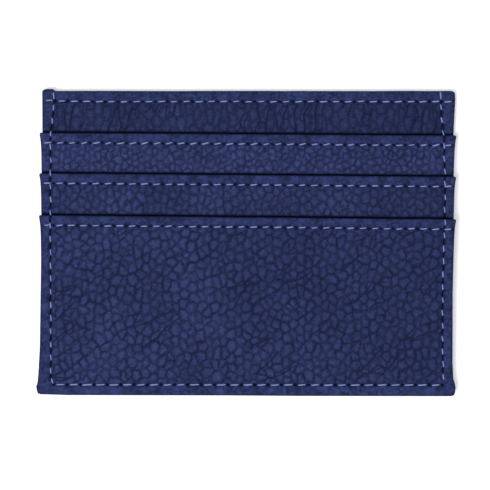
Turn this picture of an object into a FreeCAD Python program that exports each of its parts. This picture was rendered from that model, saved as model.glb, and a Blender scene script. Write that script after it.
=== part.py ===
import FreeCAD, Part
import os
import Sketcher

# A flat card holder that lies on its back. X runs across it, Y from its closed bottom edge to its
# open top edge, and Z up through its layers. The origin is under its middle, on the table.

SIZES = {
    # the whole holder
    "holder_width": 102.0,
    "holder_height": 74.8,
    "corner_radius": 0.8,
    # sheets, from thickest to thinnest
    "leather_thickness": 0.7,
    "strip_thickness": 0.6,
    "turn_thickness": 0.3,
    "lining_thickness": 0.15,
    "layer_gap": 0.05,
    "slot_gap": 0.3,
    # turned edges
    "hem_depth": 8.0,
    "edge_turn": 6.0,
    "fold_radius": 0.28,
    # pocket lips and the floors of the pockets, measured up from the middle of the holder
    "upper_lip": 26.9,
    "middle_lip": 16.8,
    "front_lip": 6.4,
    "strip_length": 18.0,
    "strip_overlap": 4.0,
    "lip_lift": 0.36,
    "ear": 0.2,
    "upper_floor": -15.6,
    "middle_floor": -25.6,
    "floor_margin": 1.5,
    "lining_bend": 3.0,
    # seams
    "seam_inset": 2.5,
    "thread_width": 0.34,
    "inner_thread_width": 0.25,
    "stitch_length": 2.1,
    "stitch_pitch": 3.0,
    "bottom_pitch": 3.3,
    "groove_width": 0.9,
    "groove_depth": 0.36,
}

# Two lengths closer than this count as equal.
CLOSE = 0.01
# Heights below and above everything, between which the leather is probed.
UNDER_ALL = -1.0
OVER_ALL = 20.0

LAYER = "Sizes.layer_gap"
TURN = "Sizes.turn_thickness"
LINING = "Sizes.lining_thickness"
LEATHER = "Sizes.leather_thickness"
STRIP = "Sizes.strip_thickness"
HEM = "Sizes.hem_depth"
HALF_WIDTH = "Sizes.holder_width / 2"
HALF_HEIGHT = "Sizes.holder_height / 2"

# Heights of the faces in the stack, each as a formula of the sheet.
BACK_TURN = LEATHER
BACK_LINING = f"{BACK_TURN} + {TURN}"
BACK_BORDER = f"{BACK_LINING} + {LINING}"
SLOT_MIDDLE = f"{BACK_BORDER} + Sizes.slot_gap / 2"
FRONT_LINING = f"{BACK_BORDER} + Sizes.slot_gap"
FRONT_TURN = f"{FRONT_LINING} + {LINING}"
FRONT_SHEET = f"{FRONT_TURN} + {TURN}"
FRONT_FACE = f"{FRONT_SHEET} + {LEATHER}"

doc = FreeCAD.newDocument("card_holder")
sheet = doc.addObject("Spreadsheet::Sheet", "Sizes")
for row, (alias, value) in enumerate(SIZES.items(), start=1):
    sheet.set(f"A{row}", alias)
    sheet.set(f"B{row}", str(value))
    sheet.setAlias(f"B{row}", alias)
doc.recompute()

subparts = []


def size(alias):
    """A driving dimension as a number, read from the sheet."""
    return float(sheet.get(alias))


def new_body(name):
    body = doc.addObject("PartDesign::Body", name)
    body.Label = name
    subparts.append(body)
    return body


def new_outline(body, name, role, loops, height=None):
    """A sketch of closed loops of straight lines on an origin plane of its own body.

    Each corner is a pair of formulas, held by its two distances from the sketch's origin.
    """
    plane = next(f for f in body.Origin.OriginFeatures if f.Role == role)
    sketch = body.newObject("Sketcher::SketchObject", name)
    sketch.AttachmentSupport = (plane, [""])
    sketch.MapMode = "FlatFace"
    if height:
        sketch.setExpression("AttachmentOffset.Base.z", height)
    bound = []
    for loop in loops:
        first = sketch.GeometryCount
        count = len(loop)
        # Any distinct corners will do to start from: the formulas then place every one of them.
        rough = [FreeCAD.Vector(1 + i, (7 * i) % 5, 0) for i in range(count)]
        for i in range(count):
            sketch.addGeometry(Part.LineSegment(rough[i], rough[(i + 1) % count]), False)
        for i in range(count):
            here = first + i
            after = first + (i + 1) % count
            sketch.addConstraint(Sketcher.Constraint("Coincident", here, 2, after, 1))
        for i, (across, up) in enumerate(loop):
            for kind, formula, start in (("DistanceX", across, rough[i].x), ("DistanceY", up, rough[i].y)):
                held = Sketcher.Constraint(kind, -1, 1, first + i, 1, start)
                label = f"{kind[-1].lower()}_{first + i}"
                sketch.renameConstraint(sketch.addConstraint(held), label)
                bound.append((label, formula))
    for label, formula in bound:
        sketch.setExpression(f"Constraints.{label}", formula)
    return sketch


def new_pad(body, name, sketch, depth, both_ways=False):
    pad = body.newObject("PartDesign::Pad", name)
    pad.Profile = sketch
    pad.setExpression("Length", depth)
    if both_ways:
        pad.SideType = "Symmetric"
    sketch.Visibility = False
    return pad


def rectangle(left, right, low, high):
    return [(left, low), (right, low), (right, high), (left, high)]


def inset_rectangle(by, top_by=None):
    """The holder's outline moved in by a formula, and at the open top by another one."""
    top_by = top_by or by
    return rectangle(
        f"-{HALF_WIDTH} + {by}", f"{HALF_WIDTH} - {by}",
        f"-{HALF_HEIGHT} + {by}", f"{HALF_HEIGHT} - {top_by}",
    )


def fillet_edges(body, name, base, chosen, radius):
    """Rounds the edges of the base feature that a test picks out."""
    doc.recompute()
    names = [f"Edge{i}" for i, edge in enumerate(base.Shape.Edges, start=1) if chosen(edge)]
    fillet = body.newObject("PartDesign::Fillet", name)
    fillet.Base = (base, names)
    fillet.setExpression("Radius", radius)
    return fillet


def is_corner(edge):
    """An upright edge at one of the holder's four corners."""
    box = edge.BoundBox
    side = size("holder_width") / 2 - CLOSE
    upright = box.XLength < CLOSE and box.YLength < CLOSE
    return upright and (box.XMax > side or box.XMin < -side)


# ---- Panels: a leather sheet whose four edges are turned in over a thin board ----


def make_panel(name, sheet_height, turn_height, groove):
    body = new_body(name)
    face = new_outline(body, f"{name}_face", "XY_Plane", [inset_rectangle("0")], sheet_height)
    pad = new_pad(body, f"{name}_sheet", face, LEATHER)
    frame = [inset_rectangle("0"), inset_rectangle("Sizes.edge_turn", HEM)]
    turned = new_outline(body, f"{name}_turn", "XY_Plane", frame, turn_height)
    pad = new_pad(body, f"{name}_turned_edge", turned, TURN)
    body.Tip = fillet_edges(body, f"{name}_corners", pad, is_corner, "Sizes.corner_radius")
    if groove:
        cut_groove(body, name)


def cut_groove(body, name):
    """The valley that the thread's tension pulls into the back, along the seam and under the top edge."""
    near = "(Sizes.seam_inset - Sizes.groove_width / 2)"
    far = "(Sizes.seam_inset + Sizes.groove_width / 2)"
    loops = [inset_rectangle(near), inset_rectangle(far)]
    sketch = new_outline(body, f"{name}_seam_line", "XY_Plane", loops)
    doc.recompute()
    before = body.Shape.Volume
    pocket = body.newObject("PartDesign::Pocket", f"{name}_seam_groove")
    pocket.Profile = sketch
    pocket.setExpression("Length", "Sizes.groove_depth")
    pocket.Reversed = True
    sketch.Visibility = False
    body.Tip = pocket
    doc.recompute()
    assert pocket.Shape.Volume < before - 1, "the seam groove cut nothing"


make_panel("back_panel", None, BACK_TURN, groove=True)
make_panel("front_panel", FRONT_SHEET, FRONT_TURN, groove=False)


# ---- Stiffeners: thin board that fills the space inside the turned edges ----


def make_stiffener(name, height):
    board = doc.addObject("Part::Box", name)
    board.Label = name
    board.setExpression("Length", f"2 * ({HALF_WIDTH} - Sizes.edge_turn - {LAYER})")
    board.setExpression("Width", f"Sizes.holder_height - Sizes.edge_turn - {HEM} - 2 * {LAYER}")
    board.setExpression("Height", TURN)
    board.setExpression("Placement.Base.x", f"-({HALF_WIDTH} - Sizes.edge_turn - {LAYER})")
    board.setExpression("Placement.Base.y", f"-{HALF_HEIGHT} + Sizes.edge_turn + {LAYER}")
    board.setExpression("Placement.Base.z", height)
    subparts.append(board)


make_stiffener("back_stiffener", BACK_TURN)
make_stiffener("front_stiffener", FRONT_TURN)


# ---- Centre linings: woven sheets whose side and bottom edges are folded over where they meet ----


def make_centre_lining(name, sheet_height, border_height):
    body = new_body(name)
    whole = inset_rectangle(LAYER, "Sizes.floor_margin")
    face = new_outline(body, f"{name}_face", "XY_Plane", [whole], sheet_height)
    new_pad(body, f"{name}_sheet", face, LINING)
    left = f"-{HALF_WIDTH} + {LAYER}"
    right = f"{HALF_WIDTH} - {LAYER}"
    low = f"-{HALF_HEIGHT} + {LAYER}"
    high = f"{HALF_HEIGHT} - Sizes.floor_margin"
    inner_left = f"{left} + Sizes.strip_overlap"
    inner_right = f"{right} - Sizes.strip_overlap"
    inner_low = f"{low} + Sizes.strip_overlap"
    border = [
        (left, low), (right, low), (right, high), (inner_right, high),
        (inner_right, inner_low), (inner_left, inner_low), (inner_left, high), (left, high),
    ]
    turned = new_outline(body, f"{name}_edge", "XY_Plane", [border], border_height)
    body.Tip = new_pad(body, f"{name}_folded_edge", turned, "Sizes.slot_gap / 2")


make_centre_lining("centre_lining_back", BACK_LINING, BACK_BORDER)
make_centre_lining("centre_lining_front", FRONT_LINING, SLOT_MIDDLE)


# ---- Pocket linings: flat tails from under each strip to the seam that is the pocket's floor ----

UPPER_TAIL = f"{FRONT_FACE} + {LAYER}"
MIDDLE_TAIL = f"{UPPER_TAIL} + {LINING} + {LAYER}"
UPPER_TAIL_END = "Sizes.upper_floor - Sizes.floor_margin"
MIDDLE_TAIL_END = "Sizes.middle_floor - Sizes.floor_margin"


def make_tail(name, lower_side):
    """A woven sheet drawn as its cross-section: its lower side from the strip down to the floor."""
    body = new_body(name)
    upper_side = [(along, f"{low} + {LINING}") for along, low in reversed(lower_side)]
    sketch = new_outline(body, f"{name}_section", "YZ_Plane", [lower_side + upper_side])
    width = f"Sizes.holder_width - 2 * {LAYER}"
    body.Tip = new_pad(body, f"{name}_sheet", sketch, width, both_ways=True)


make_tail("upper_pocket_lining", [
    ("Sizes.upper_lip - Sizes.strip_length + Sizes.strip_overlap", UPPER_TAIL),
    (UPPER_TAIL_END, UPPER_TAIL),
])
# The middle one passes over the upper pocket's floor seam, then comes down to the front panel.
OVER_SEAM = f"{MIDDLE_TAIL} + Sizes.inner_thread_width"
make_tail("middle_pocket_lining", [
    ("Sizes.middle_lip - Sizes.strip_length + Sizes.strip_overlap", OVER_SEAM),
    (f"{UPPER_TAIL_END} - Sizes.floor_margin", OVER_SEAM),
    (f"{UPPER_TAIL_END} - Sizes.floor_margin - Sizes.lining_bend", UPPER_TAIL),
    (MIDDLE_TAIL_END, UPPER_TAIL),
])


# ---- Pockets: sheets whose lip is turned under, each lying over the one behind it ----

# Undersides of each pocket: at its lip, at the end of its turned hem, and at its lower end.
UPPER_LIP_LOW = f"{FRONT_FACE} + {LAYER}"
UPPER_HEM_LOW = UPPER_LIP_LOW
UPPER_END_LOW = f"{UPPER_TAIL} + {LINING} + {LAYER}"
UPPER_END_TOP = f"{UPPER_END_LOW} + {STRIP}"
MIDDLE_HEM_LOW = f"{UPPER_END_TOP} + {LAYER}"
MIDDLE_LIP_LOW = f"{MIDDLE_HEM_LOW} + {LAYER}"
MIDDLE_END_LOW = f"{OVER_SEAM} + {LINING} + {LAYER}"
MIDDLE_END_TOP = f"{MIDDLE_END_LOW} + {STRIP}"
FRONT_HEM_LOW = f"{MIDDLE_END_TOP} + {LAYER}"
FRONT_LIP_LOW = f"{FRONT_HEM_LOW} + Sizes.lip_lift + {LAYER}"
FRONT_END_LOW = f"{FRONT_FACE} + {LAYER}"


def lip_edges(lip):
    """A test for the long edges of a pocket's lip, which are rounded where the leather folds."""
    def chosen(edge):
        box = edge.BoundBox
        return box.XLength > size("holder_width") / 2 and abs(box.YMin - lip) < CLOSE
    return chosen


def make_strip(name, lip, lip_low, hem_low, end_low):
    """A strip of leather with a turned lip, drawn as its cross-section and padded across the holder."""
    body = new_body(name)
    top = f"Sizes.{lip}"
    hem = f"{top} - {HEM}"
    end = f"{top} - Sizes.strip_length"
    section = [
        (top, lip_low), (top, f"{lip_low} + {TURN} + {STRIP}"),
        (hem, f"{hem_low} + {TURN} + {STRIP}"), (end, f"{end_low} + {STRIP}"),
        (end, end_low), (hem, f"{hem_low} + {TURN}"), (hem, hem_low),
    ]
    sketch = new_outline(body, f"{name}_section", "YZ_Plane", [section])
    pad = new_pad(body, f"{name}_sheet", sketch, "Sizes.holder_width + 2 * Sizes.ear", both_ways=True)
    body.Tip = fillet_edges(body, f"{name}_fold", pad, lip_edges(size(lip)), "Sizes.fold_radius")


make_strip("upper_pocket", "upper_lip", UPPER_LIP_LOW, UPPER_HEM_LOW, UPPER_END_LOW)
make_strip("middle_pocket", "middle_lip", MIDDLE_LIP_LOW, MIDDLE_HEM_LOW, MIDDLE_END_LOW)


def make_front_pocket():
    """The tall pocket: its lip and its bottom edge are both turned under."""
    body = new_body("front_pocket")
    top = "Sizes.front_lip"
    hem = f"{top} - {HEM}"
    bottom = f"-{HALF_HEIGHT}"
    turned = f"{bottom} + Sizes.edge_turn"
    section = [
        (top, FRONT_LIP_LOW), (top, f"{FRONT_LIP_LOW} + {TURN} + {LEATHER}"),
        (hem, f"{FRONT_HEM_LOW} + {TURN} + {LEATHER}"), (bottom, f"{FRONT_END_LOW} + {TURN} + {LEATHER}"),
        (bottom, FRONT_END_LOW), (turned, FRONT_END_LOW), (turned, f"{FRONT_END_LOW} + {TURN}"),
        (hem, f"{FRONT_HEM_LOW} + {TURN}"), (hem, FRONT_HEM_LOW),
    ]
    sketch = new_outline(body, "front_pocket_section", "YZ_Plane", [section])
    pad = new_pad(body, "front_pocket_sheet", sketch, "Sizes.holder_width + 2 * Sizes.ear", both_ways=True)
    body.Tip = fillet_edges(body, "front_pocket_fold", pad, lip_edges(size("front_lip")), "Sizes.fold_radius")


make_front_pocket()
doc.recompute()


# ---- Threads: each node is one seam, as the row of stitches that shows on the surface ----


FACE_LAYERS = ("front_panel", "upper_pocket", "middle_pocket", "front_pocket")


def top_height(across, along):
    """Height of the uppermost leather face at a place on the holder."""
    layers = [part.Shape for part in subparts if part.Label in FACE_LAYERS]
    probe = Part.makeLine(FreeCAD.Vector(across, along, UNDER_ALL), FreeCAD.Vector(across, along, OVER_ALL))
    inside = [edge for layer in layers for edge in layer.common(probe).Edges]
    return max(vertex.Z for edge in inside for vertex in edge.Vertexes)


def make_stitch(start, end, width):
    """A straight round thread from one point to another."""
    run = end - start
    return Part.makeCylinder(width / 2, run.Length, start, run)


def laid_stitch(start, end, width):
    """A stitch between two places (x, y), lying on the leather under it."""
    lift = width / 2 + CLOSE
    ends = [FreeCAD.Vector(x, y, top_height(x, y) + lift) for x, y in (start, end)]
    return make_stitch(ends[0], ends[1], width)


def flat_stitch(start, end, width, height):
    """A level stitch between two places (x, y), at one height."""
    ends = [FreeCAD.Vector(x, y, height) for x, y in (start, end)]
    return make_stitch(ends[0], ends[1], width)


def add_thread(name, stitches):
    """A seam: all its stitches, as one subpart."""
    thread = doc.addObject("Part::Feature", name)
    thread.Label = name
    thread.Shape = Part.makeCompound(stitches)
    thread.Placement = FreeCAD.Placement()
    subparts.append(thread)


def spans(low, high, pitch, length):
    """Even stitches between two limits: the start and end of each."""
    count = round((high - low) / pitch)
    step = (high - low) / count
    middles = [low + (i + 0.5) * step for i in range(count)]
    return [(m - length / 2, m + length / 2) for m in middles]


half_width = size("holder_width") / 2
half_height = size("holder_height") / 2
inset = size("seam_inset")
thread_width = size("thread_width")
stitch_length = size("stitch_length")
side_x = half_width - inset
bottom_y = -half_height + inset
clear_of_side = side_x - thread_width
groove_height = size("groove_depth") / 2

# A hem seam runs between the side seams, with one short stitch past each of them.
hem_spans = spans(-clear_of_side, clear_of_side, size("stitch_pitch"), stitch_length)
outer_stitch = (side_x + thread_width, half_width - thread_width)
hem_spans += [outer_stitch, (-outer_stitch[1], -outer_stitch[0])]

lips = (half_height, size("upper_lip"), size("middle_lip"), size("front_lip"))
for name, lip in zip(FACE_LAYERS, lips):
    row = lip - inset
    stitches = [laid_stitch((a, row), (b, row), thread_width) for a, b in hem_spans]
    add_thread(f"{name}_hem_thread", stitches)

back_row = half_height - inset
inner_spans = hem_spans[:-2]
stitches = [flat_stitch((a, back_row), (b, back_row), thread_width, groove_height) for a, b in inner_spans]
add_thread("back_panel_hem_thread", stitches)

# The perimeter seam has its own stitches on each tier, so that none of them crosses a lip.
side_spans = []
for upper, lower in zip(lips, lips[1:] + (bottom_y,)):
    side_spans += spans(lower, upper, size("bottom_pitch"), stitch_length)
bottom_spans = spans(-clear_of_side, clear_of_side, size("bottom_pitch"), stitch_length)
runs = [((x, a), (x, b)) for x in (-side_x, side_x) for a, b in side_spans]
runs += [((a, bottom_y), (b, bottom_y)) for a, b in bottom_spans]
add_thread("perimeter_needle_thread", [laid_stitch(a, b, thread_width) for a, b in runs])
# On the back, the stitches stop short of the seam under the top edge.
back_runs = [(a, b) for a, b in runs if max(a[1], b[1]) < back_row - thread_width]
stitches = [flat_stitch(a, b, thread_width, groove_height) for a, b in back_runs]
add_thread("perimeter_bobbin_thread", stitches)

# The floors of the two strip pockets are sewn through their linings with a finer thread.
inner_width = size("inner_thread_width")
front_face = 2 * size("leather_thickness") + 2 * size("turn_thickness") + 2 * size("lining_thickness")
front_face += size("slot_gap")
floor_seam = front_face + size("layer_gap") + size("lining_thickness") + inner_width / 2
for name, floor in (("upper_pocket", "upper_floor"), ("middle_pocket", "middle_floor")):
    row = size(floor)
    stitches = [flat_stitch((a, row), (b, row), inner_width, floor_seam) for a, b in inner_spans]
    add_thread(f"{name}_base_thread", stitches)

# ---- Check and write ----

doc.recompute()
for thing in doc.Objects:
    assert "Invalid" not in thing.State and "Error" not in thing.State, f"{thing.Name}: {thing.State}"
os.makedirs("parts", exist_ok=True)
for subpart in subparts:
    shape = subpart.Shape
    assert not shape.isNull() and shape.isValid(), subpart.Label
    shape.exportStep(f"parts/{subpart.Label}.step")
    print(f"{subpart.Label}: {len(shape.Solids)} solids, {shape.Volume:.1f} mm3, {shape.BoundBox}")
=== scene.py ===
# %% [markdown]
# # A stitched leather card holder
# The holder lies on its back: three strips and pockets of pebbled leather overlap like roof tiles on a
# front panel, a plain panel forms the back, and one seam runs down both sides and along the bottom. The
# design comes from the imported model, which says where each layer lies. This script gives every layer its
# real surface: rolled edges, grain, seams that pull the leather in, and thread that goes over and under.

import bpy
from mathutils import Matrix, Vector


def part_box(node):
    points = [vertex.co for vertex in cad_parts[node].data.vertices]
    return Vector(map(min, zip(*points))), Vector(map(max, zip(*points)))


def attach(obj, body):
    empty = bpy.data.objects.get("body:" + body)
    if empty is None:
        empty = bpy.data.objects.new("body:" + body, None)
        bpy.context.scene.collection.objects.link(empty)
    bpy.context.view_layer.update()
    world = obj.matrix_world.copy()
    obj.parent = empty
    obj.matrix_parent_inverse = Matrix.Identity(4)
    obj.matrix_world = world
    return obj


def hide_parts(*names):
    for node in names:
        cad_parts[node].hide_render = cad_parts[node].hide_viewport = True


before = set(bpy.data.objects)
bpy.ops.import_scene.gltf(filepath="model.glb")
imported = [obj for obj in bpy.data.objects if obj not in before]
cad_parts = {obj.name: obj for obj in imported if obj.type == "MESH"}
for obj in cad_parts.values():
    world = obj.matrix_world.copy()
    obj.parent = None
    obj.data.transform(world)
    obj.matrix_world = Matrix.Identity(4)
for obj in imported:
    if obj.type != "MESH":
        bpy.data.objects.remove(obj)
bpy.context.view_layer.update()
print("nodes:", len(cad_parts))

# %% [markdown]
# ## Working in millimetres
# Leather is thought of in tenths of a millimetre, and Blender in metres. The makers below work in
# millimetres, and each finished mesh is scaled to metres once, just before it becomes an object. A seeded
# random source stands for the hand of the machinist, so every run sews the same small faults.

# %% Units and helpers
import math
import random
from collections import namedtuple

import bmesh
import bpy
from mathutils import Vector, kdtree, noise
from mathutils.bvhtree import BVHTree

MM = 0.001
hand = random.Random(11)


def box_mm(node):
    low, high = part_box(node)
    return low / MM, high / MM


def between(stops, place):
    """A value read from a short list of (place, value) stops, straight between them."""
    stops = sorted(stops)
    if place <= stops[0][0]:
        return stops[0][1]
    for (first, start), (second, end) in zip(stops, stops[1:]):
        if place <= second:
            return start + (end - start) * (place - first) / (second - first)
    return stops[-1][1]


def ease(low, high, value):
    """0 below low, 1 above high, and smooth between."""
    share = min(max((value - low) / (high - low), 0.0), 1.0)
    return share * share * (3 - 2 * share)


print("halfway through an ease:", ease(0.0, 1.0, 0.5))

# %% [markdown]
# ## Sizes from the model
# Four tiers show from the front. Each ends at a lip, and the lips' heights up the holder are read from the
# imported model, so a change to the design moves the looks with it.

# %% The tiers and their lips
panel_low, panel_high = box_mm("front_panel")
TOP, BOTTOM = panel_high.y, panel_low.y
HALF = panel_high.x
TIERS = ["front_panel", "upper_pocket", "middle_pocket", "front_pocket"]
PANELS = ("front_panel", "back_panel")
lips = {name: box_mm(name)[1].y for name in TIERS}
print("lips, mm:", {name: round(y, 1) for name, y in lips.items()})

# %% [markdown]
# ## The camera
# The holder is looked at from straight above with a long lens, so its layers barely shift against each
# other. The lens follows from the camera's height and the width of the floor that it takes in.

# %% Camera
scene = bpy.context.scene
scene.view_settings.view_transform = "Standard"
camera_data = bpy.data.cameras.new("camera")
camera = bpy.data.objects.new("camera", camera_data)
scene.collection.objects.link(camera)
scene.camera = camera

SENSOR = 36.0
FRAME_WIDTH = 120.9
CAMERA_PLACE = Vector((-0.55, -0.5, 700.0))
camera_data.sensor_width = SENSOR
camera_data.lens = SENSOR * (CAMERA_PLACE.z - panel_high.z) / FRAME_WIDTH
camera_data.clip_start = 0.01
camera.location = CAMERA_PLACE * MM
print("lens, mm:", round(camera_data.lens, 1))

# %% [markdown]
# ## The floor and the light
# The main light stands high over the bottom left corner, and a wider, weaker one stands opposite. Steep
# light keeps the shadow on the right to a thin line. It also lights the rolled lips and leaves a dark line
# in the mouth of each pocket, deepened by painted shadow, which is what makes the steps readable. The floor
# is close to white.

# %% Floor and light
FLOOR_HALF = 1.5
SKY = (0.93, 0.96, 1.0, 1.0)


def add_floor():
    bm = bmesh.new()
    bmesh.ops.create_grid(bm, x_segments=1, y_segments=1, size=FLOOR_HALF)
    mesh = bpy.data.meshes.new("floor")
    bm.to_mesh(mesh)
    bm.free()
    floor = bpy.data.objects.new("floor", mesh)
    scene.collection.objects.link(floor)
    return floor


def add_area_light(name, place, power, side):
    """A square soft light at a place in metres, turned towards the holder."""
    data = bpy.data.lights.new(name, "AREA")
    data.energy = power
    data.size = side
    light = bpy.data.objects.new(name, data)
    light.location = place
    light.rotation_euler = Vector(place).to_track_quat("Z", "Y").to_euler()
    scene.collection.objects.link(light)


floor = add_floor()
add_area_light("key_light", (-0.30, -0.30, 1.0), 8.7, 0.40)
add_area_light("fill_light", (0.50, 0.30, 1.0), 3.0, 0.8)
world = bpy.data.worlds.new("studio")
world.use_nodes = True
background = world.node_tree.nodes["Background"]
background.inputs["Color"].default_value = SKY
background.inputs["Strength"].default_value = 0.5
scene.world = world
print("lights:", [o.name for o in scene.objects if o.type == "LIGHT"])

# %% [markdown]
# ## Shader maths as plain expressions
# A node tree reads better as a formula. `Wire` wraps one socket and adds a Math node for each operator, so
# `1 - mask` works as written. `Maker` holds one material and adds any other node in one call: its settings
# first, then the values or wires of its sockets.

# %% Wires and makers


class Wire:
    """One output socket that takes part in sums."""

    def __init__(self, maker, socket):
        self.maker = maker
        self.socket = socket

    def sum_with(self, operation, first, second):
        return self.maker.add("ShaderNodeMath", {"operation": operation}, [first, second])

    def __add__(self, other):
        return self.sum_with("ADD", self, other)

    def __mul__(self, other):
        return self.sum_with("MULTIPLY", self, other)

    def __sub__(self, other):
        return self.sum_with("SUBTRACT", self, other)

    def __rsub__(self, other):
        return self.sum_with("SUBTRACT", other, self)

    def __pow__(self, other):
        return self.sum_with("POWER", self, other)

    __radd__ = __add__
    __rmul__ = __mul__


class Maker:
    """A material and the nodes that are added to it."""

    def __init__(self, name, **constants):
        self.material = bpy.data.materials.new(name)
        self.material.use_nodes = True
        self.tree = self.material.node_tree
        self.shader = self.tree.nodes["Principled BSDF"]
        for socket, value in constants.items():
            self.shader.inputs[socket.replace("_", " ")].default_value = value

    def add(self, kind, settings=None, inputs=(), output=0):
        node = self.tree.nodes.new(kind)
        for key, value in (settings or {}).items():
            setattr(node, key, value)
        pairs = inputs.items() if isinstance(inputs, dict) else enumerate(inputs)
        for key, value in pairs:
            self.feed(node.inputs[key], value)
        return Wire(self, node.outputs[output])

    def feed(self, socket, value):
        if isinstance(value, Wire):
            self.tree.links.new(value.socket, socket)
        else:
            socket.default_value = value

    def blend(self, share, first, second, kind="MIX"):
        """A mix of two colours."""
        settings = {"data_type": "RGBA", "blend_type": kind}
        return self.add("ShaderNodeMix", settings, {0: share, 6: first, 7: second}, output=2)

    def place(self):
        return self.add("ShaderNodeTexCoord", output="Object")

    def parts(self, vector):
        """The first two parts of a vector."""
        first = self.add("ShaderNodeSeparateXYZ", {}, [vector])
        return first, Wire(self, first.socket.node.outputs[1])

    def attribute(self, name):
        return self.add("ShaderNodeAttribute", {"attribute_name": name}, output="Fac")

    def noise(self, vector, scale, detail=3.0, roughness=0.5):
        sockets = {"Vector": vector, "Scale": scale, "Detail": detail, "Roughness": roughness}
        return self.add("ShaderNodeTexNoise", {}, sockets, output=0)

    def bump(self, height, distance, strength=1.0):
        """Raises the surface by a height from 0 to 1, over a distance in metres."""
        sockets = {"Height": height, "Distance": distance, "Strength": strength}
        self.finish("Normal", self.add("ShaderNodeBump", {}, sockets))

    def finish(self, socket, value):
        self.feed(self.shader.inputs[socket], value)


# %% [markdown]
# ## Leather
# The hide is dyed navy right through and pressed with a pebble grain. Its colour isn't one blue: the
# creases between pebbles are darker, partly from dye and partly from painted shade, the pebbles' tops carry
# a painted highlight, and the smooth bands beside the seams were pressed by the machine's foot. Painted shade
# also darkens the rolled edges, the pocket mouths and the needle holes, and every piece a little towards the
# right. The mesh carries those places as attributes, so the colour always agrees with the shape. Fine pores
# are too small for a mesh and stay a bump. The finish reflects little, and its reflection is tinted by the
# dye.

# %% Leather material
# crease carries the grain lines, the pocket mouths and the rolled rim, for dye and painted shade; dome
# carries the pebbles' tops, for a painted highlight; hole carries the needle holes and mouths, for painted
# shade.
SKIN = ("crease", "dome", "hole", "pressed", "tone")
DARK_VALLEY, PALE_VALLEY = (0.0046, 0.0066, 0.028, 1), (0.0116, 0.0155, 0.057, 1)
DARK_CROWN, PALE_CROWN = (0.0170, 0.0232, 0.086, 1), (0.0370, 0.0485, 0.160, 1)
DARK_BAND, PALE_BAND = (0.0045, 0.0066, 0.032, 1), (0.0265, 0.0365, 0.130, 1)
CREASE_DYE_AND_SHADE = (0.0038, 0.0056, 0.026, 1)
HOLE_AND_MOUTH_SHADE = (0.0008, 0.0010, 0.002, 1)


def leather_material():
    make = Maker("navy_leather", Specular_IOR_Level=0.20, Specular_Tint=(0.45, 0.6, 1.0, 1.0))
    place = make.place()
    crease, dome, hole, pressed, tone = (make.attribute(name) for name in SKIN)
    mottle = make.noise(place, 1500.0, 4.0, 0.65)
    pores = make.add("ShaderNodeTexVoronoi", {}, {"Vector": place, "Scale": 3300.0}, output="Distance")
    patches = make.noise(place, 420.0, 3.0, 0.6)
    valley = make.blend(tone, DARK_VALLEY, PALE_VALLEY)
    crown = make.blend(tone, DARK_CROWN, PALE_CROWN)
    fleck = (mottle - 0.5) * 2.8
    band = make.blend((patches - 0.5) * 2.6 + fleck + 0.44, DARK_BAND, PALE_BAND)
    # Pebble tops are paler than their valleys: a painted highlight, stronger on some cells than others.
    colour = make.blend(dome * 0.75 + fleck + 0.12, valley, crown)
    colour = make.blend(pressed * 0.85, colour, band)
    # Darker in the creases, partly dye and partly painted shade, and painted shade in the pocket mouths and
    # on the rolled rim.
    colour = make.blend(crease, colour, CREASE_DYE_AND_SHADE)
    # Near-black painted shade in the needle holes and in the pocket mouths under the lips.
    colour = make.blend((hole - 0.20) * 2.6, colour, HOLE_AND_MOUTH_SHADE)
    make.finish("Base Color", colour)
    make.finish("Roughness", 0.52 + crease * 0.2 + mottle * 0.14 + hole * 0.25)
    make.bump(mottle * 0.8 + pores * 0.4, 0.00008, 0.8)
    return make.material


leather = leather_material()
print("leather nodes:", len(leather.node_tree.nodes))

# %% [markdown]
# ## Thread
# The seams are sewn with a two-ply polyester thread, a paler blue than the hide. Each stitch carries its
# own UV map, u along it and v around it, so the ply can wind round it as slanting ridges, and painted shade
# darkens its ends where they go down into the needle hole.

# %% Thread material
THREAD_BLUE, PLY_SHADE = (0.190, 0.242, 0.510, 1), (0.078, 0.105, 0.275, 1)
THREAD_FUZZ = (0.30, 0.36, 0.70, 1)
THREAD_END_SHADE = (0.030, 0.040, 0.13, 1)


def thread_material():
    make = Maker("blue_thread", Specular_IOR_Level=0.4, Sheen_Weight=0.08)
    along, around = make.parts(make.add("ShaderNodeUVMap", {"uv_map": "UVMap"}))
    turns = along * 7.0 + around * 2.0
    ply = make.add("ShaderNodeMath", {"operation": "PINGPONG"}, [turns, 0.5]) * 2.0
    fibres = make.noise(make.place(), 9000.0, 2.0)
    middle = 1 - make.add("ShaderNodeMath", {"operation": "ABSOLUTE"}, [along - 0.5]) * 2.0
    end = 1 - make.add("ShaderNodeMath", {"operation": "SMOOTH_MIN"}, [middle * 3.0, 1.0, 0.3])
    colour = make.blend(ply * 0.6, THREAD_BLUE, PLY_SHADE)
    colour = make.blend(fibres * 0.3, colour, THREAD_FUZZ)
    # Painted shade at the ends, where the thread goes down into the hole.
    colour = make.blend(end, colour, THREAD_END_SHADE)
    make.finish("Base Color", colour)
    make.finish("Roughness", 0.5 + fibres * 0.2)
    make.bump(1 - ply, 0.00006)
    return make.material


thread = thread_material()
print("thread nodes:", len(thread.node_tree.nodes))

# %% [markdown]
# ## Lining and board
# The lining is a plain weave, one thread over and one under, in a darker navy. The stiffener is a grey
# fibre board that never shows once the panels are closed, but it is there when the layers are taken apart.

# %% Lining and board materials
THREADS_PER_METRE = 2200.0
WEAVE_LOW, WEAVE_HIGH = (0.006, 0.008, 0.026, 1), (0.018, 0.024, 0.066, 1)
BOARD_DARK, BOARD_PALE = (0.16, 0.145, 0.12, 1), (0.30, 0.28, 0.24, 1)


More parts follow.
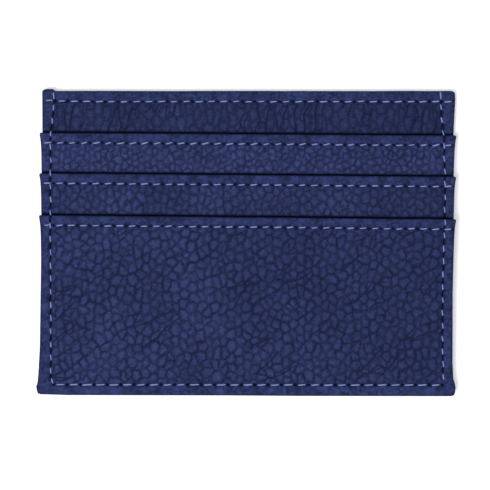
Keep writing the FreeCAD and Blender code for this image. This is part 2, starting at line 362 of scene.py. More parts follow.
def weave_material():
    make = Maker("navy_lining", Roughness=0.8, Specular_IOR_Level=0.25)
    across, up = make.parts(make.place())
    threads = 2 * math.pi * THREADS_PER_METRE
    warp = make.add("ShaderNodeMath", {"operation": "SINE"}, [across * threads])
    weft = make.add("ShaderNodeMath", {"operation": "SINE"}, [up * threads])
    weave = warp * weft * 0.5 + 0.5
    make.finish("Base Color", make.blend(weave, WEAVE_LOW, WEAVE_HIGH))
    make.bump(weave, 0.00006)
    return make.material


def board_material():
    make = Maker("stiffener_board", Specular_IOR_Level=0.3)
    fibres = make.noise(make.place(), 900.0, 5.0, 0.7)
    make.finish("Base Color", make.blend(fibres, BOARD_DARK, BOARD_PALE))
    make.finish("Roughness", 0.75 + fibres * 0.2)
    make.bump(fibres, 0.00008)
    return make.material


lining = weave_material()
board = board_material()
for name in ("front_stiffener", "back_stiffener"):
    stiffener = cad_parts[name]
    stiffener.data.materials.clear()
    stiffener.data.materials.append(board)
    print(name, "is", board.name)

# %% [markdown]
# ## The floor's finish
# A sheet of white card on a light table: nearly no colour, a little tooth so it isn't a flat tone, and a
# faint glow of its own that leaves only the thinnest shadow round the holder.

# %% Floor material
GLOW = 0.20


def floor_material():
    make = Maker("white_card", Specular_IOR_Level=0.1, Emission_Color=(1, 1, 1, 1), Emission_Strength=GLOW)
    tooth = make.noise(make.place(), 60.0, 3.0)
    make.finish("Base Color", make.blend(tooth, (0.92, 0.92, 0.93, 1), (0.95, 0.95, 0.955, 1)))
    make.finish("Roughness", 0.9 + tooth * 0.05)
    return make.material


floor.data.materials.append(floor_material())
print("materials:", [material.name for material in bpy.data.materials])

# %% [markdown]
# ## The outline
# A sewn edge is never ruled. Each side follows a few stops from top to bottom. Every pocket's folded lip
# ends in an ear that stands a little past the side and draws in below, and both bottom corners swell where
# the leather is folded over itself. At the top left the edge of the front panel stands up beside the seam.

# %% Outline of the holder and of each pocket
# Stops of each side are (place up the holder, place across it); those of a corner are (height above the
# bottom, how far it swells), and those of the sag are (place across, shift up).
LEFT_SIDE = [(TOP, -50.75), (27.5, -50.7), (-5.0, -50.75), (-20.0, -51.0), (-32.0, -51.2), (BOTTOM, -51.4)]
RIGHT_SIDE = [
    (TOP, 51.4), (35.0, 51.5), (28.0, 51.1), (18.0, 50.95), (0.0, 50.85), (-12.0, 50.6), (BOTTOM, 50.6),
]
LEFT_CORNER = [(0.0, 0.2), (0.7, 0.42), (1.2, 0.56), (2.1, 0.7), (2.9, 0.42), (5.9, 0.24), (12.0, 0.0)]
RIGHT_CORNER = [(0.0, 0.35), (0.7, 0.6), (1.6, 0.75), (2.3, 0.72), (3.0, 0.52), (3.9, 0.22), (8.0, 0.0)]
BOTTOM_SAG = [(-50.5, 0.10), (-44.0, -0.12), (-5.0, -0.22), (12.0, -0.36), (50.0, -0.42)]
SAG_FADE = 2.5
EAR, EAR_FADE, EAR_ROUND = 0.6, 2.4, 0.25
PANEL_INSET, PANEL_RISE = 0.12, 0.12
TOP_ROUND, BOTTOM_ROUND = 0.75, 0.35
TAB_RISE, TAB_START, TAB_END = 0.50, -48.1, -47.3
LIP_SLOPE = {"front_panel": 0.0, "upper_pocket": 0.35, "middle_pocket": 0.42, "front_pocket": 0.5}
LIP_WAVER = 0.05


def rounding(distance, radius):
    """How far a rounded corner draws in, at a distance from the corner's end."""
    if distance >= radius:
        return 0.0
    return radius - math.sqrt(max(radius ** 2 - (radius - distance) ** 2, 0.0))


def side_edge(stops, node, y):
    """Where a piece ends at one side, at a height up the holder."""
    edge = between(stops, y)
    outward = math.copysign(1, edge)
    flare = between(LEFT_CORNER if outward < 0 else RIGHT_CORNER, y - BOTTOM)
    if node in PANELS:
        flare -= PANEL_INSET + rounding(TOP - y, TOP_ROUND)
    else:
        flare += EAR * math.exp(-abs(lips[node] - y) / EAR_FADE) - rounding(lips[node] - y, EAR_ROUND)
    flare -= rounding(y - BOTTOM, BOTTOM_ROUND)
    return edge + outward * flare


def lip_shift(node, x):
    """How far the lip lies from its true line: a slope, and on the panels a raised tab at the left end."""
    shift = -LIP_SLOPE.get(node, 0.0) * x / HALF
    if node in PANELS:
        shift += PANEL_RISE + TAB_RISE * (1 - ease(TAB_START, TAB_END, x))
    return shift + LIP_WAVER * noise.noise(Vector((x * 0.15, lips.get(node, TOP), 3.0)))


def bottom_shift(x, y):
    """How far the bottom edge sags, fading out above it."""
    return between(BOTTOM_SAG, x) * (1 - ease(BOTTOM, BOTTOM + SAG_FADE, y))


ends = [side_edge(stops, "front_panel", 0.0) for stops in (LEFT_SIDE, RIGHT_SIDE)]
print("the front panel's sides halfway up, mm:", [round(end, 2) for end in ends])


# %% [markdown]
# ## Seams
# A seam is planned on the flat before anything is sewn: a line, a pitch and the length of thread that shows.
# The machine's stitches aren't equal, so each is moved and turned a little. Between two stitches the needle
# goes down, and that place is kept too, because the leather has a dimple there.

# %% Planning a seam
SLIT = ((-0.12, 0.06), (0.12, -0.06))


def point_along(route, distance):
    for a, b in zip(route, route[1:]):
        run = (b - a).length
        if distance <= run:
            return a.lerp(b, distance / run)
        distance -= run
    return route[-1].copy()


def plan_seam(route, pitch, length, slant=0.12, jitter=0.05, marks=SLIT):
    """Stitches (start, end) and needle marks along a route of straight runs on the flat.

    Each mark is (along, across) from the place where the needle went down."""
    route = [Vector(p) for p in route]
    total = sum((b - a).length for a, b in zip(route, route[1:]))
    count = round(total / pitch)
    step = total / count
    stitches = []
    holes = []
    for i in range(count):
        middle = (i + 0.5) * step + hand.uniform(-jitter, jitter)
        reach = length * hand.uniform(0.86, 1.12) / 2
        start = point_along(route, max(middle - reach, 0.0))
        end = point_along(route, min(middle + reach, total))
        forward = (end - start).normalized()
        across = Vector((-forward.y, forward.x))
        sway = hand.uniform(-jitter, jitter)
        lean = slant * hand.uniform(0.4, 1.5)
        stitches.append((start + across * (sway - lean), end + across * (sway + lean)))
        down = point_along(route, (i + 1) * step)
        holes += [down + forward * ahead + across * beside for ahead, beside in marks]
    return stitches, holes


# %% [markdown]
# ## The hem seams
# Each lip is turned under and sewn down by one row of stitches. The row's height comes from the model. Its
# line follows the lip, except on the front panel, where it dips away from the raised tab at the left end.

# %% Plan the hem seams
hem_rows = {}
for name in TIERS:
    thread_low, thread_high = box_mm(f"{name}_hem_thread")
    hem_rows[name] = (thread_low.y + thread_high.y) / 2
HEM_PITCH, HEM_STITCH = 3.03, 2.05
HEM_SLANT = {"front_panel": 0.10, "upper_pocket": 0.19, "middle_pocket": 0.10, "front_pocket": 0.11}
HEM_MARGIN = 0.25
HEM_RUNS = 8
PANEL_ROW_RISE = 0.30


def row_shift(node, x):
    """How far a hem seam lies from its true line."""
    if node in PANELS:
        return PANEL_ROW_RISE * (1 - ease(-50.0, -41.0, x))
    return lip_shift(node, x)


def hem_route(node):
    row = hem_rows[node]
    left = side_edge(LEFT_SIDE, node, row) + HEM_MARGIN
    right = side_edge(RIGHT_SIDE, node, row) - HEM_MARGIN
    places = [left + (right - left) * i / HEM_RUNS for i in range(HEM_RUNS + 1)]
    return [(x, row + row_shift(node, x)) for x in places]


seams = {name: plan_seam(hem_route(name), HEM_PITCH, HEM_STITCH, HEM_SLANT[name]) for name in TIERS}
print("hem rows, mm:", {name: round(row, 2) for name, row in hem_rows.items()})

# %% [markdown]
# ## The seam round the edge
# One seam goes down the left side, along the bottom and up the right side, through every layer. Its side
# stitches sink into a groove and show long dark gaps, and along the bottom the needle left round holes. It
# is planned as six runs, because the ends and the corner have a stitch of their own length.

# %% Plan the seam round the edge
bottom_row = box_mm("perimeter_needle_thread")[0].y + 0.17
SEAM_LEFT = [(TOP, -47.85), (34.8, -47.65), (30.0, -48.1), (26.0, -48.5), (-20.0, -48.4), (BOTTOM, -48.35)]
SEAM_RIGHT = [
    (TOP, 47.75), (30.0, 48.0), (25.0, 48.7), (6.0, 48.75), (-10.0, 47.95), (-25.0, 48.1), (BOTTOM, 48.3),
]
GROOVE = ((-0.52, 0.04), (-0.18, 0.02), (0.18, -0.02), (0.52, -0.04))
ROUND_HOLE = ((0.0, 0.0), (-0.2, 0.0), (0.2, 0.0), (0.0, 0.16), (0.0, -0.16))
TOP_STITCH = 2.35
SIDE_PITCH, LEFT_STITCH, RIGHT_STITCH = 3.18, 1.75, 1.7
CORNER_PITCH, CORNER_STITCH = 1.6, 1.55
BOTTOM_PITCH, BOTTOM_STITCH = 3.31, 2.62
side_ys = [TOP - TOP_STITCH, 31.0, 26.0, 12.0, -2.0, -16.0, -28.0]
left_run = [(between(SEAM_LEFT, y), y) for y in side_ys + [-33.1]]
right_run = [(between(SEAM_RIGHT, y), y) for y in side_ys + [bottom_row + 0.35]]
corner = (left_run[-1], (-47.75, bottom_row + 0.1))
bottom_run = [(-47.7, bottom_row), (0.0, bottom_row - 0.05), (48.1, bottom_row - 0.12)]
above_top = TOP + 0.2
perimeter_runs = [
    plan_seam([(-47.9, above_top), left_run[0]], TOP_STITCH, TOP_STITCH, 0.0, 0.03, GROOVE),
    plan_seam(left_run, SIDE_PITCH, LEFT_STITCH, 0.10, 0.10, GROOVE),
    plan_seam(corner, CORNER_PITCH, CORNER_STITCH, 0.0, 0.02, ROUND_HOLE),
    plan_seam(bottom_run, BOTTOM_PITCH, BOTTOM_STITCH, 0.09, 0.03, ROUND_HOLE),
    plan_seam(right_run[::-1], SIDE_PITCH, RIGHT_STITCH, 0.12, 0.12, GROOVE),
    plan_seam([right_run[0], (47.6, above_top)], TOP_STITCH, TOP_STITCH, 0.0, 0.03, ()),
]
seams["perimeter"] = [sum((run[i] for run in perimeter_runs), []) for i in (0, 1)]
print("stitches:", {name: len(stitches) for name, (stitches, holes) in seams.items()})

# %% [markdown]
# ## Grain
# Pebble grain is a net of creases round raised cells. Cell centres are scattered as a loose honeycomb, and
# the crease runs where the two nearest centres are equally far. A net can be pulled long in one direction,
# and then the distances are measured as if it weren't, so that its creases stay equally wide all round.

# %% A net of creases
HONEYCOMB = 0.87


class Net:
    """A net of creases round loosely honeycombed cells, which can be long in one direction."""

    def __init__(self, seed, cell, long=1.0, turn=0.0, loose=0.30):
        chance = random.Random(seed)
        angle = math.radians(turn)
        self.squash = 1 / long
        self.along = Vector((math.cos(angle), math.sin(angle))) * self.squash
        self.aside = Vector((-math.sin(angle), math.cos(angle)))
        reach = Vector((HALF, TOP)).length + 2 * cell
        rows = range(-int(reach / (cell * HONEYCOMB)) - 1, int(reach / (cell * HONEYCOMB)) + 2)
        columns = range(-int(reach / long / cell) - 2, int(reach / long / cell) + 3)
        self.tree = kdtree.KDTree(len(rows) * len(columns))
        self.tones = []
        for row in rows:
            for column in columns:
                place = Vector((column + 0.5 * (row % 2), row * HONEYCOMB, 0.0)) * cell
                place.x += chance.uniform(-loose, loose) * cell
                place.y += chance.uniform(-loose, loose) * cell
                self.tree.insert(place, len(self.tones))
                self.tones.append(chance.random())
        self.tree.balance()

    def read(self, spot):
        """(distance to the nearest crease in millimetres, tone of the cell from 0 to 1)."""
        spot = Vector((spot.dot(self.along), spot.dot(self.aside), 0.0))
        (home, index, near), *others = self.tree.find_n(spot, 3)
        edges = []
        for place, i, far in others:
            apart = place - home
            edges.append((far * far - near * near) / (2 * math.hypot(apart.x * self.squash, apart.y)))
        return min(edges), self.tones[index]


# %% [markdown]
# ## The hide that each piece was cut from
# Three nets lie over each other: the pebbles, long streaks where the hide was folded, and faint wrinkles on
# the pebbles' tops. Each piece came from another part of the hide, so each has its own cell size, direction
# and tone. The front panel was folded most, so its streaks run nearly up and down and cross all of it.

# %% The nets of each piece
# The size of a pebble, how many times as tall as wide it is, and how strong the net round it is; then the
# streaks' spacing, direction in degrees and strength, the depth of the grain, the tone of the dye and a seed.
# Streaks are long, loose to a degree, and cross more of a piece that was folded.
Hide = namedtuple(
    "Hide",
    "cell tall pebble spacing turn streak depth tone seed long loose folded",
    defaults=(2.8, 0.30, 0.0),
)
HIDES = {
    "front_panel": Hide(2.1, 1.6, 0.50, 2.6, 83, 1.2, 0.9, 0.04, 3, long=4.5, loose=0.22, folded=0.3),
    "upper_pocket": Hide(1.75, 1.1, 0.9, 4.0, 25, 0.6, 0.9, 0.92, 17),
    "middle_pocket": Hide(1.95, 1.3, 1.0, 3.6, 80, 0.5, 0.8, 0.42, 29),
    "front_pocket": Hide(2.2, 1.15, 1.0, 4.8, 34, 1.0, 1.0, 0.38, 41),
    "back_panel": Hide(2.2, 1.1, 1.0, 4.8, 30, 0.8, 1.0, 0.45, 53),
}
WRINKLE_CELL = 0.85
nets = {}
for name, hide in HIDES.items():
    nets[name] = (
        Net(hide.seed, hide.cell, hide.tall, 90),
        Net(hide.seed + 1, hide.spacing, hide.long, hide.turn, hide.loose),
        Net(hide.seed + 2, WRINKLE_CELL),
    )
print("pebbles in each net:", {name: len(own[0].tones) for name, own in nets.items()})

# %% [markdown]
# ## Reading the grain
# A crease is a smooth groove about a quarter of a millimetre wide, and the pebble rises between the
# creases. A slow noise bends the nets so that no line is straight, and another makes some places firmer.

# %% The grain at a place
CREASE_DEPTH = 0.12
PEBBLE_DOME = 0.10
WRINKLE = 0.25
SLOW_SWAY, QUICK_SWAY = (0.30, 0.75), (1.2, 0.20)
NOISE_SEED = 1795037254
noise.seed_set(NOISE_SEED)  # without a seed, noise_vector starts from the clock


def grain(node, x, y):
    """The height of the grain in millimetres; how much of a crease and of a pebble's top, from 0 to 1."""
    hide = HIDES[node]
    pebbles, streaks, wrinkles = nets[node]
    place = Vector((x, y, hide.seed))
    sway = Vector()
    for often, size in (SLOW_SWAY, QUICK_SWAY):
        sway += noise.noise_vector(place * often) * size
    spot = Vector((x + sway.x, y + sway.y))
    edge, tone = pebbles.read(spot)
    firm = 0.45 + 0.55 * ease(-0.35, 0.35, noise.noise(place * 0.45))
    line = (1 - ease(0.02, 0.26, edge)) * firm * hide.pebble
    torn = ease(-0.1, 0.25, noise.noise(place * 0.12 + Vector((0, 0, 7.0))) + hide.folded)
    streak = (1 - ease(0.04, 0.30, streaks.read(spot)[0])) * torn * hide.streak
    wrinkle = (1 - ease(0.0, 0.16, wrinkles.read(spot)[0])) * WRINKLE
    line = max(line, streak, wrinkle) * hide.depth
    top = ease(0.0, 0.85, edge) * (0.55 + 0.45 * tone)
    height = top * PEBBLE_DOME * hide.depth - line * CREASE_DEPTH
    return height, line, top


print("height of the grain in the middle, mm:", round(grain("front_pocket", 0.0, 0.0)[0], 3))

# %% [markdown]
# ## Where the seams and lips are
# The leather's shape depends on how near the closest seam, needle hole and lip are. Holes are looked up in
# a tree, and a seam is a line across the flat, so its distance is a plain difference.

# %% Distances to seams, holes and lips
FAR = 99.0


def hole_tree(names):
    places = [hole for name in names for hole in seams[name][1]]
    tree = kdtree.KDTree(len(places))
    for i, hole in enumerate(places):
        tree.insert((hole.x, hole.y, 0.0), i)
    tree.balance()
    return tree


def inside_seams(node, x, y):
    """Distances to the piece's nearest seam and to its hem seam: above 0 inside the seams."""
    to_sides = min(x - between(SEAM_LEFT, y), between(SEAM_RIGHT, y) - x)
    to_bottom = y - bottom_row
    to_hem = hem_rows.get(node, hem_rows["front_panel"]) + row_shift(node, x) - y
    return min(to_sides, to_bottom, to_hem), to_hem


def past_next_lip(node, x, y):
    """How far a place lies above the next pocket's lip; the last pocket has none."""
    after = TIERS.index(node) + 1 if node in TIERS else len(TIERS)
    if after == len(TIERS):
        return FAR
    return y - lips[TIERS[after]] - lip_shift(TIERS[after], x)


all_holes = hole_tree(list(seams))
print("from the middle to the nearest needle hole, mm:", round(all_holes.find((0.0, 0.0, 0.0))[2], 1))

# %% [markdown]
# ## Seam pull and pocket mouths
# A seam pulls the leather down in a valley and leaves a mark at each needle hole, a dimple painted dark as
# shade, and between seams the leather swells a little. Where a layer goes in under the next lip it bends
# down, and painted shade darkens it there, with a near-black painted shadow right at the lip.

# %% The leather's face
VALLEY, VALLEY_WIDTH = 0.16, 0.45
HOLE_DEPTH, HOLE_WIDTH = 0.38, 0.25
MOUTH_DIP, MOUTH_WIDTH, MOUTH_SHADOW_WIDTH = 0.45, 0.50, 0.42
PUFF = 0.14
SHADE_TOWARDS_RIGHT, TONE_CLOUDS = 0.15, 0.35


def bell(distance, width):
    """1 at a distance of 0, fading smoothly over a width."""
    return math.exp(-((distance / width) ** 2))


def surface(node, x, y, holes):
    """The leather's face at a place: its height, then a value for each name in SKIN."""
    inner, to_hem = inside_seams(node, x, y)
    height, line, top = grain(node, x, y)
    free = 0.22 + 0.78 * ease(0.0, 1.1, inner)
    height = height * free + PUFF * ease(0.0, 2.2, inner)
    height -= VALLEY * bell(inner, VALLEY_WIDTH)
    crossing = abs(to_hem) if inner < 0 else FAR
    height -= 0.6 * VALLEY * bell(crossing, VALLEY_WIDTH)
    past = past_next_lip(node, x, y)
    # The mouth dips the leather and darkens it with painted shade.
    mouth = bell(past - 0.05, MOUTH_WIDTH)
    height -= MOUTH_DIP * mouth
    # A near-black painted shadow right at the next lip.
    painted_mouth_shadow = 0.9 * bell(past, MOUTH_SHADOW_WIDTH)
    dimple = bell(holes.find((x, y, 0.0))[2], HOLE_WIDTH)
    height -= HOLE_DEPTH * dimple
    # The crease value darkens with dye and painted shade, the mouth with painted shade.
    crease = max(line * (0.2 + 0.8 * free), mouth)
    # The tone falls towards the right: painted shade, as if lit from the left. The clouds are random tone.
    tone = HIDES[node].tone - SHADE_TOWARDS_RIGHT * x / HALF + TONE_CLOUDS * noise.noise(Vector((x, y, 5.0)) * 0.09)
    return height, (crease, top, max(dimple, painted_mouth_shadow), 1 - ease(-0.2, 0.8, inner), tone)


# %% [markdown]
# ## Rows and columns of a piece
# Each piece starts as one flat grid. Its inner rows and columns are laid over the face, and the outermost
# ones follow a quarter circle down to half the edge's thickness, which gives the soft roll of turned
# leather. Rows that the next pocket hides are far apart, so the faces are spent where they show.

# %% Stations across a piece
ROLL_STEPS = 4


def spread(length, step, roll, fine_from=0.0, coarse=None):
    """Stations along one direction: (distance, how far round the roll from -1 to 1)."""
    start, end = roll, length - roll
    turns = [math.cos(math.pi / 2 * i / ROLL_STEPS) for i in range(ROLL_STEPS)]
    round_start = [(start, -turn) for turn in turns]
    round_end = [(end, turn) for turn in reversed(turns)]
    flat = []
    place = start
    while place < end - 0.4 * step:
        flat.append((place, 0.0))
        place += step if place >= fine_from or coarse is None else min(coarse, fine_from - place + step)
    return round_start + flat + [(end, 0.0)] + round_end


print("stations along 5 mm:", [round(place, 2) for place, turn in spread(5.0, 1.0, 0.5)])

# %% [markdown]
# ## The underside
# The rim is extruded down and in to finish the roll, and one face closes the underside, which lies on the
# next layer. What a rim vertex needs to know for this travels with it in four layers of its own.

# %% Closing the underside
RIM = ("turn_x", "turn_y", "under", "bead")
BEAD_WIDTH = 1.1
ROLL_IN, ROLL_UNDER = 0.3, 0.7


def close_underside(bm, rim, roll):
    """Rolls the open rim down and inwards onto the layer below, and closes it.

    A bead is the turned edge of the leather: it hangs lower than the underside, on the closed edges only."""
    edges = [e for e in bm.edges if e.is_boundary]
    for drop, inset, beaded in ((0.7, ROLL_IN * roll, 1), (1.0, ROLL_UNDER * roll, 1), (1.0, BEAD_WIDTH, 0)):
        made = bmesh.ops.extrude_edge_only(bm, edges=edges)["geom"]
        edges = [g for g in made if isinstance(g, bmesh.types.BMEdge)]
        for vert in (g for g in made if isinstance(g, bmesh.types.BMVert)):
            turn_x, turn_y, under, bead = (vert[layer] for layer in rim)
            own_inset = min(inset, ROLL_IN * roll) if turn_x and turn_y else inset
            vert.co.x -= turn_x * own_inset
            vert.co.y -= turn_y * own_inset
            vert.co.z += (under - bead * beaded - vert.co.z) * drop
    bmesh.ops.contextual_create(bm, geom=edges)
    bmesh.ops.recalc_face_normals(bm, faces=bm.faces)
    for name in RIM:
        bm.verts.layers.float.remove(bm.verts.layers.float[name])


# %% [markdown]
# ## A piece of leather with rolled edges
# Every vertex of the grid is moved to its place on the outline, raised by the grain and the seams, and
# rolled down near the rim. A grid keeps the mesh even, and that matters because the grain is carved into it.
# Each vertex also keeps how creased, raised, pressed or pierced the leather is there, for the material, which
# paints shade and highlight from it; the rolled rim is marked for painted shade.

# %% Maker of a leather piece
ROLL = 0.5
RIM_SHADE = 0.95


def make_leather(node, low, face_of, under_of, bead_of, step, seam_names, fine_from=0.0, coarse=None):
    """Returns a closed bmesh in millimetres. Heights grow outwards from the face's own side."""
    holes = hole_tree(seam_names)
    lip = lips.get(node, TOP)
    columns = spread(2 * HALF, step, ROLL)
    rows = spread(lip - low, step, ROLL, fine_from - low, coarse)
    bm = bmesh.new()
    skin_layers = [bm.verts.layers.float.new(name) for name in SKIN]
    bmesh.ops.create_grid(bm, x_segments=len(columns) - 1, y_segments=len(rows) - 1, size=1.0)
    rim = [bm.verts.layers.float.new(name) for name in RIM]
    bm.verts.ensure_lookup_table()
    for vert in bm.verts:
        across, turn_x = columns[vert.index % len(columns)]
        along, turn_y = rows[vert.index // len(columns)]
        turn = Vector((turn_x, turn_y))
        if turn.length > 1:
            turn.normalize()
        y = low + along
        left, right = (side_edge(stops, node, y + turn.y * ROLL) for stops in (LEFT_SIDE, RIGHT_SIDE))
        share = (across - ROLL) / (2 * HALF - 2 * ROLL)
        x = left + ROLL + share * (right - left - 2 * ROLL)
        y += lip_shift(node, x) * ease(low, lip, y)
        y += bottom_shift(x, y)
        height, (crease, top, dimple, pressed, tone) = surface(node, x, y, holes)
        fall = 1 - math.sqrt(max(0.0, 1 - turn.length_squared))
        under = under_of(x, y)
        face = face_of(y) + height
        edge = min(ROLL, (face - under) / 2)
        vert.co = (x + turn.x * ROLL, y + turn.y * ROLL, face - edge * fall)
        # The rolled edge is darkened with painted shade.
        crease = max(crease * (1 - fall), RIM_SHADE * ease(0.0, 0.32, fall))
        values = (crease, top, dimple * (1 - fall), pressed, tone, turn.x, turn.y, under, bead_of(x, y))
        for layer, value in zip(skin_layers + rim, values):
            vert[layer] = value
    close_underside(bm, rim, ROLL)
    return bm


# %% [markdown]
# ## From a mesh to a piece
# A finished mesh is scaled to metres, given its finish and made an object, and is parented to the body that
# it rides on; the model's node that it stands for is hidden. Only the big face of an underside stays
# flat-shaded.

# %% Finishing a piece
QUAD = 4


def finish_piece(name, bm, material, node):
    """Scales a piece to metres, makes it an object and ties it to the frame."""
    bmesh.ops.scale(bm, vec=(MM, MM, MM), verts=bm.verts)
    for face in bm.faces:
        face.smooth = len(face.verts) <= QUAD
    mesh = bpy.data.meshes.new(name)
    bm.to_mesh(mesh)
    bm.free()
    mesh.materials.append(material)
    piece = bpy.data.objects.new(name, mesh)
    scene.collection.objects.link(piece)
    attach(piece, "root")
    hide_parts(node)
    print(f"{name}: {len(mesh.polygons)} faces")
    return piece


# %% [markdown]
# ## How high each layer lies
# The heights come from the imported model: a ray dropped on a node says how high its face is at a place. They
# are read at stops up the holder, clear of the rounded lip, and each piece rests on whatever lies below it.

# %% Heights of the layers


def face_tree(node):
    bm = bmesh.new()
    bm.from_mesh(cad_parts[node].data)
    bmesh.ops.scale(bm, vec=(1 / MM, 1 / MM, 1 / MM), verts=bm.verts)
    tree = BVHTree.FromBMesh(bm)
    bm.free()
    return tree


LIP_CLEAR, FOOT_CLEAR = 0.6, 0.3
HEIGHT_STOPS = 24
READ_AT_X, ABOVE_ALL = 9.0, 50.0
OVERLAP = 0.2


def flat_face(node):
    """The height of a node's face at a distance up the holder, as stops read from the model."""
    tree = face_tree(node)
    low, high = box_mm(node)
    start, end = low.y + FOOT_CLEAR, high.y - LIP_CLEAR
    stops = []
    for i in range(HEIGHT_STOPS + 1):
        y = start + (end - start) * i / HEIGHT_STOPS
        hit = tree.ray_cast(Vector((READ_AT_X, y, ABOVE_ALL)), Vector((0, 0, -1)))[0]
        stops.append((y, hit.z))
    return stops


faces = {name: flat_face(name) for name in TIERS}
feet = {name: box_mm(name)[0].y for name in TIERS}
print("face heights at the lips, mm:", {name: round(stops[-1][1], 2) for name, stops in faces.items()})


def below(node, y):
    """The height of the highest layer under a piece."""
    under = [n for n in TIERS[: TIERS.index(node)] if feet[n] - OVERLAP < y]
    return max(between(faces[n], y) for n in under)


# %% [markdown]
# ## The four tiers
# The front panel and the three pockets are made from back to front. Only the stretch that shows gets the
# fine grid, down to a little below the next lip. The front panel's turned edge hangs down as a bead along
# the sewn sides, where it meets the back, and stays clear of it along the open mouth of the centre slot.

# %% Make the four tiers
SINK = 0.02
FINE = 0.21
FINE_POCKET = 0.225
COARSE = 1.2
HIDDEN_MARGIN = 1.4
BEAD = 0.27


def bead_at(x, y):
    """How far a panel's edge hangs: all along the sewn sides and bottom, not at the open mouth."""
    return BEAD * ease(1.0, 4.0, TOP - y)


def make_tier(name):
    after = TIERS.index(name) + 1
    fine_from = lips[TIERS[after]] - HIDDEN_MARGIN if after < len(TIERS) else feet[name]
    step = FINE_POCKET if name == "front_pocket" else FINE
    is_panel = name in PANELS

    def face_of(y):
        return between(faces[name], y)

    def under_of(x, y):
        return panel_low.z if is_panel else below(name, y) + SINK

    def bead_of(x, y):
        return bead_at(x, y) if is_panel else 0.0

    seam_names = (name, "perimeter")
    bm = make_leather(name, feet[name], face_of, under_of, bead_of, step, seam_names, fine_from, COARSE)
    return finish_piece(f"{name}_leather", bm, leather, name)


leather_pieces = [make_tier(name) for name in TIERS]

# %% [markdown]
# ## The back
# The back panel is made face up, like the others, and then mirrored to face the table. It has its own hem
# seam along the mouth and the underside of the perimeter seam.

# %% Make the back panel
back_top = box_mm("back_panel")[1].z
BACK_SEAM_END = 50.3
BACK_LIFT = 0.25
FINE_BACK = 0.30
back_route = [(x, hem_rows["front_panel"]) for x in (-BACK_SEAM_END, BACK_SEAM_END)]
seams["back_panel"] = plan_seam(back_route, HEM_PITCH, HEM_STITCH)
bm = make_leather(
    "back_panel", BOTTOM, lambda y: -BACK_LIFT, lambda x, y: -back_top, bead_at, FINE_BACK,
    ("back_panel", "perimeter"),
)
bmesh.ops.scale(bm, vec=(1, 1, -1), verts=bm.verts)
bmesh.ops.recalc_face_normals(bm, faces=bm.faces)
leather_pieces.append(finish_piece("back_panel_leather", bm, leather, "back_panel"))

# %% [markdown]
# ## The line of a stitch
# A stitch comes up out of one needle hole, lies on the leather and goes down into the next. Its line is
# found by dropping rays on the finished leather, and a thread under tension can't follow a hollow, so the
# line is then pulled straight over it. That also carries a stitch over a lip.

# %% Laying thread on the leather


def leather_tree():
    bm = bmesh.new()
    for piece in leather_pieces:
        bm.from_mesh(piece.data)
    bmesh.ops.scale(bm, vec=(1 / MM, 1 / MM, 1 / MM), verts=bm.verts)
    tree = BVHTree.FromBMesh(bm)
    bm.free()
    return tree


leather_faces = leather_tree()
STATIONS = 8
DIVE = [0.55, 0.20, 0.02, 0.0, 0.0, 0.0, 0.02, 0.20, 0.55]
PAST_EDGE_LEVEL = 1.6
RIDE_HEIGHT = 0.55


def lay_thread(start, end, radius, side):
    """The centre line of one stitch on the face (side 1) or on the back (side -1)."""
    line = []
    for i in range(STATIONS + 1):
        spot = start.lerp(end, i / STATIONS)
        origin = Vector((spot.x, spot.y, ABOVE_ALL * side))
        hit = leather_faces.ray_cast(origin, Vector((0, 0, -side)))[0]
        line.append(Vector((spot.x, spot.y, (hit.z if hit else PAST_EDGE_LEVEL) * side)))
    for i in range(STATIONS + 1):
        for a in range(i):
            for b in range(i + 1, STATIONS + 1):
                bridge = line[a].z + (line[b].z - line[a].z) * (i - a) / (b - a)
                line[i].z = max(line[i].z, bridge)
    for point, dive in zip(line, DIVE):
        point.z = (point.z + radius * RIDE_HEIGHT - dive) * side
    return line


middle_line = lay_thread(Vector((-1, 0)), Vector((1, 0)), 0.0, 1)
print("a thread laid over the middle, mm:", [round(point.z, 2) for point in middle_line])

# %% [markdown]
# ## A stitch of thread
# A stitch is a small grid, with its own UV map, wrapped round that line as a tube that closes to a point at
# each end. Merging the doubles closes the tube's side and its tips.

# %% Maker of stitches
SIDES = 7
THREAD_RADIUS = 0.175
THINNEST, THICKEST = 0.84, 1.14
TAPER = [0.0, 0.75, 1.0, 1.0, 1.0, 1.0, 1.0, 0.75, 0.0]
MERGE = 0.002


def add_stitch(bm, line, radius):
    """Wraps a small grid round a centre line as a closed tube with pointed ends."""
    made = bmesh.ops.create_grid(bm, x_segments=STATIONS, y_segments=SIDES, size=0.5, calc_uvs=True)
    for vert in made["verts"]:
        station = round((vert.co.x + 0.5) * STATIONS)
        angle = 2 * math.pi * (vert.co.y + 0.5)
        before, after = line[max(station - 1, 0)], line[min(station + 1, STATIONS)]
        forward = (after - before).normalized()
        sideways = forward.cross(Vector((0, 0, 1))).normalized()
        upward = sideways.cross(forward)
        ring = sideways * math.cos(angle) + upward * math.sin(angle)
        vert.co = line[station] + ring * radius * TAPER[station]


def sew(name, node, lines):
    """Makes one piece of all the stitches of a seam, from their (centre line, radius)."""
    bm = bmesh.new()
    bm.loops.layers.uv.new("UVMap")
    for line, radius in lines:
        add_stitch(bm, line, radius)
    bmesh.ops.remove_doubles(bm, verts=bm.verts, dist=MERGE)
    bmesh.ops.recalc_face_normals(bm, faces=bm.faces)
    return finish_piece(name, bm, thread, node)


def laid(seam, side=1):
    """The centre line and radius of each stitch of a seam; no two are equally thick."""
    for start, end in seams[seam][0]:
        radius = THREAD_RADIUS * hand.uniform(THINNEST, THICKEST)
        yield lay_thread(start, end, radius, side), radius


# %% [markdown]
# ## Sewing
# The hem seams are sewn first, then the seam round the edge. Its needle thread shows on the front and its
# bobbin thread on the back, through the same holes.

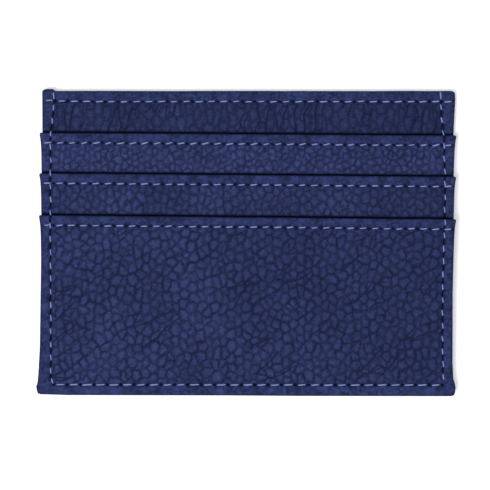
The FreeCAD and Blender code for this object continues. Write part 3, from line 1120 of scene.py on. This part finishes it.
# %% Sew the seams
for name in TIERS:
    sew(f"{name}_hem_stitches", f"{name}_hem_thread", laid(name))
sew("perimeter_stitches", "perimeter_needle_thread", laid("perimeter"))
sew("perimeter_back_stitches", "perimeter_bobbin_thread", laid("perimeter", side=-1))
sew("back_panel_hem_stitches", "back_panel_hem_thread", laid("back_panel", side=-1))

# %% [markdown]
# ## Linings
# Cloth too thin to matter until it is looked for: two sheets line the centre slot, and two tails hang from
# the strips to the floors of their pockets. Each is a grid a little smaller than its node, with a slight
# ripple, thickened by Solidify.

# %% Make the linings
WIDTH_TRIM, LENGTH_TRIM = 3.0, 0.5
CLOTH_THICKNESS = 0.11
CLOTH_CLEAR = 0.08
PINCH = 0.14
RIPPLE = 0.03


def make_lining(node, height_of):
    low, high = box_mm(node)
    width, length = high.x - low.x - WIDTH_TRIM, high.y - low.y - LENGTH_TRIM
    bm = bmesh.new()
    bmesh.ops.create_grid(bm, x_segments=60, y_segments=44, size=0.5)
    for vert in bm.verts:
        x = (low.x + high.x) / 2 + vert.co.x * width
        y = (low.y + high.y) / 2 + vert.co.y * length
        vert.co = (x, y, height_of(x, y))
    bmesh.ops.recalc_face_normals(bm, faces=bm.faces)
    piece = finish_piece(f"{node}_cloth", bm, lining, node)
    thick = piece.modifiers.new("thickness", "SOLIDIFY")
    thick.thickness = CLOTH_THICKNESS * MM
    thick.offset = 0.0
    return piece


slot_low = box_mm("centre_lining_back")[0].z
slot_high = box_mm("centre_lining_front")[1].z


def ripple(x, y):
    return RIPPLE * noise.noise(Vector((x * 0.07, y * 0.07, 8.0)))


def open_share(x, y):
    """0 at the sewn sides and bottom of the slot, 1 in the open middle."""
    return ease(0.5, 5.0, min(HALF - abs(x) - 1.0, y - BOTTOM - 1.0))


def back_cloth(x, y):
    return slot_low + CLOTH_CLEAR + PINCH * (1 - open_share(x, y)) + ripple(x, y)


def front_cloth(x, y):
    return slot_high - CLOTH_CLEAR - PINCH * (1 - open_share(x, y)) - ripple(x, y)


make_lining("centre_lining_back", back_cloth)
make_lining("centre_lining_front", front_cloth)

# %% [markdown]
# ## The strips' tails
# Each strip is leather only where it shows, and a tail of cloth carries it down to its pocket's floor. The
# tail lies flat at the floor and rises to its strip just above the floor seam.

# %% Make the tails
BEND_START, BEND_END = -20.5, -18.0
UNDER_STRIP = 0.15


def make_tail(node):
    low, high = box_mm(node)
    rise = high.z - low.z - UNDER_STRIP
    return make_lining(node, lambda x, y: low.z + CLOTH_CLEAR + rise * ease(BEND_START, BEND_END, y))


for name in ("upper_pocket_lining", "middle_pocket_lining"):
    make_tail(name)

# %% [markdown]
# ## The pockets' floor seams
# These two seams are hidden by the pockets in front. They are sewn like the others, on their own rows, but
# they lie level on their cloth, so no rays are dropped.

# %% Sew the floor seams
FLOOR_RADIUS, FLOOR_SLANT, FLOOR_DIVE = 0.12, 0.03, 0.3


def on_level(low, high):
    """Stitches along the middle of a flat box, as (centre line, radius)."""
    row, level = (low.y + high.y) / 2, (low.z + high.z) / 2
    for start, end in plan_seam([(low.x, row), (high.x, row)], HEM_PITCH, HEM_STITCH, FLOOR_SLANT)[0]:
        flat = [start.lerp(end, i / STATIONS) for i in range(STATIONS + 1)]
        yield [Vector((p.x, p.y, level - dive * FLOOR_DIVE)) for p, dive in zip(flat, DIVE)], FLOOR_RADIUS


for name in ("upper_pocket", "middle_pocket"):
    sew(f"{name}_base_stitches", f"{name}_base_thread", on_level(*box_mm(f"{name}_base_thread")))
